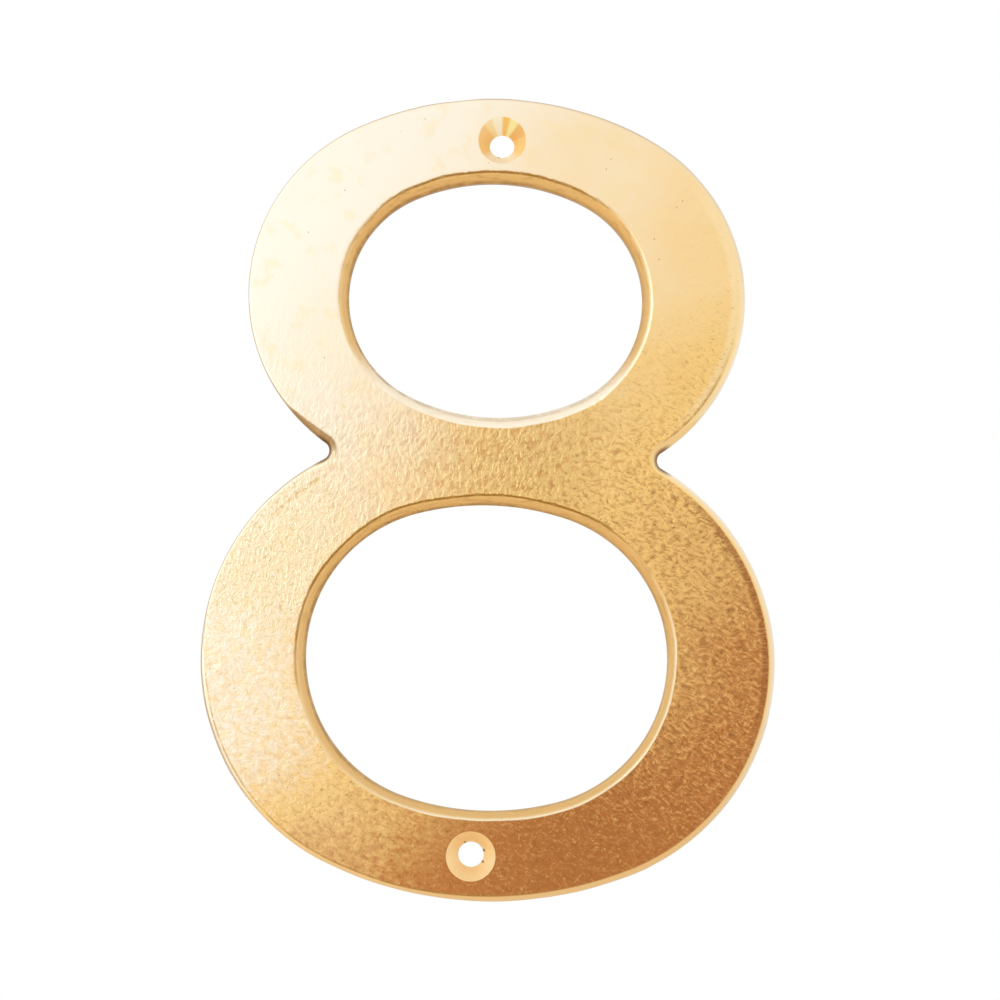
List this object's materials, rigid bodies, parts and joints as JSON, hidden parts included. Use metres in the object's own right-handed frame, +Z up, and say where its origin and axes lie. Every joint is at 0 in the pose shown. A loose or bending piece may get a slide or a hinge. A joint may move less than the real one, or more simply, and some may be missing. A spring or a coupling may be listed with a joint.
{
  "type": "house number",
  "caption": "Cast brass figure eight that is screwed flat to a wall or door as a house number, with oval openings, bevelled edges and countersunk screw holes.",
  "frame": {"origin": "middle of the waist bar, on the flat back face that lies against the wall", "axes": "+Z up the figure as it hangs, +Y out of the back into the wall, so the face looks along -Y and +X is to the right of someone reading it"},
  "size_m": [0.1062, 0.003, 0.1499],
  "materials": {
    "brass": "polished face over a sand-cast grain"
  },
  "bodies": {
    "root": {"house_number": "brass"}
  },
  "joints": []
}
